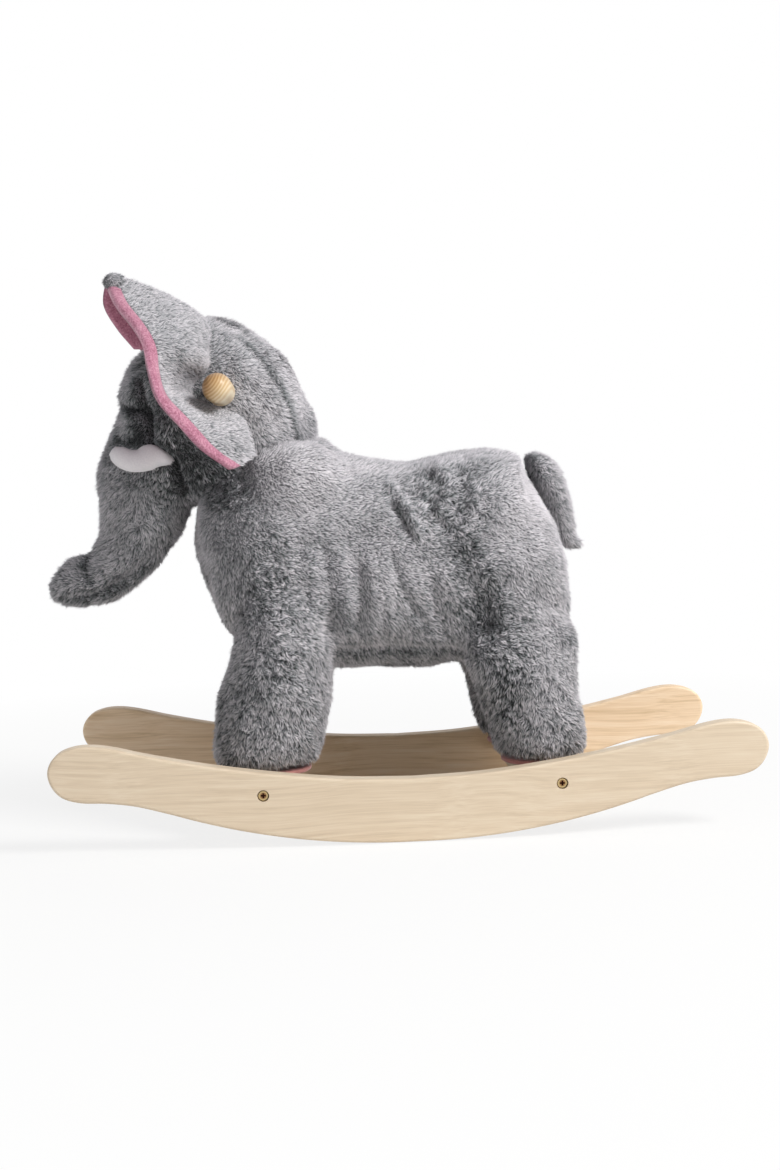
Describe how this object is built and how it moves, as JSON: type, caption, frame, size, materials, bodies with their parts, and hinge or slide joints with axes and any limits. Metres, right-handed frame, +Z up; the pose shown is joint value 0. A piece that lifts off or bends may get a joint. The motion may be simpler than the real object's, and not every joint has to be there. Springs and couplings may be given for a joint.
{
  "type": "rocking elephant",
  "caption": "Plush ride-on elephant on two curved wooden rockers, with a wooden hand grip through its head.",
  "frame": {"origin": "on the floor, under the middle of the toy's bounding box, rockers level", "axes": "+X from trunk to tail along the rockers, +Y to the elephant's right, +Z up"},
  "size_m": [0.658, 0.3656, 0.5164],
  "materials": {
    "poplar": "sanded and waxed pale poplar",
    "inner_wood": "sawn and planed, bare",
    "handle_wood": "turned beech, lightly sealed",
    "bronze_steel": "bronze-plated steel, satin",
    "grey_plush": "long-pile grey plush over stuffing",
    "pink_fleece": "short brushed fleece",
    "pink_felt": "pressed felt",
    "white_felt": "stuffed brushed felt"
  },
  "bodies": {
    "rocker_frame": {"rocker_left": "poplar", "rocker_right": "poplar", "front_cross_board": "poplar", "rear_cross_board": "poplar", "rocker_screw_front_left": "bronze_steel", "rocker_dowel_front_left_a": "inner_wood", "rocker_dowel_front_left_b": "inner_wood", "rocker_screw_front_right": "bronze_steel", "rocker_dowel_front_right_a": "inner_wood", "rocker_dowel_front_right_b": "inner_wood", "rocker_screw_rear_left": "bronze_steel", "rocker_dowel_rear_left_a": "inner_wood", "rocker_dowel_rear_left_b": "inner_wood", "rocker_screw_rear_right": "bronze_steel", "rocker_dowel_rear_right_a": "inner_wood", "rocker_dowel_rear_right_b": "inner_wood", "leg_post_front_left": "inner_wood", "post_foot_screw_front_left": "bronze_steel", "post_top_screw_front_left": "bronze_steel", "leg_post_front_right": "inner_wood", "post_foot_screw_front_right": "bronze_steel", "post_top_screw_front_right": "bronze_steel", "leg_post_rear_left": "inner_wood", "post_foot_screw_rear_left": "bronze_steel", "post_top_screw_rear_left": "bronze_steel", "leg_post_rear_right": "inner_wood", "post_foot_screw_rear_right": "bronze_steel", "post_top_screw_rear_right": "bronze_steel", "seat_board": "inner_wood", "neck_post": "inner_wood", "neck_screw": "bronze_steel", "handle_bar": "handle_wood", "handle_pin": "inner_wood", "body": "grey_plush", "head": "grey_plush", "trunk": "grey_plush", "leg_front_left": "grey_plush", "sole_front_left": "pink_felt", "leg_front_right": "grey_plush", "sole_front_right": "pink_felt", "leg_rear_left": "grey_plush", "sole_rear_left": "pink_felt", "leg_rear_right": "grey_plush", "sole_rear_right": "pink_felt", "tusk_left": "white_felt", "tusk_right": "white_felt"},
    "ear_left": {"ear_back_left": "grey_plush", "ear_lining_left": "pink_fleece"},
    "ear_right": {"ear_back_right": "grey_plush", "ear_lining_right": "pink_fleece"},
    "tail": {"tail": "grey_plush"}
  },
  "joints": [
    {"name": "ear_left_swing", "type": "hinge", "parent": "rocker_frame", "child": "ear_left", "pos_m": [-0.16598, -0.053, 0.48], "axis": [0, 0.4191, 0.908], "range_deg": [-25, 12], "stiffness_Nm_per_rad": 0.6},
    {"name": "ear_right_swing", "type": "hinge", "parent": "rocker_frame", "child": "ear_right", "pos_m": [-0.16598, 0.053, 0.48], "axis": [0, -0.4191, 0.908], "range_deg": [-12, 25], "stiffness_Nm_per_rad": 0.6},
    {"name": "tail_lift", "type": "hinge", "parent": "rocker_frame", "child": "tail", "pos_m": [0.13802, 0, 0.335], "axis": [0, -1, 0], "range_deg": [0, 80]}
  ]
}
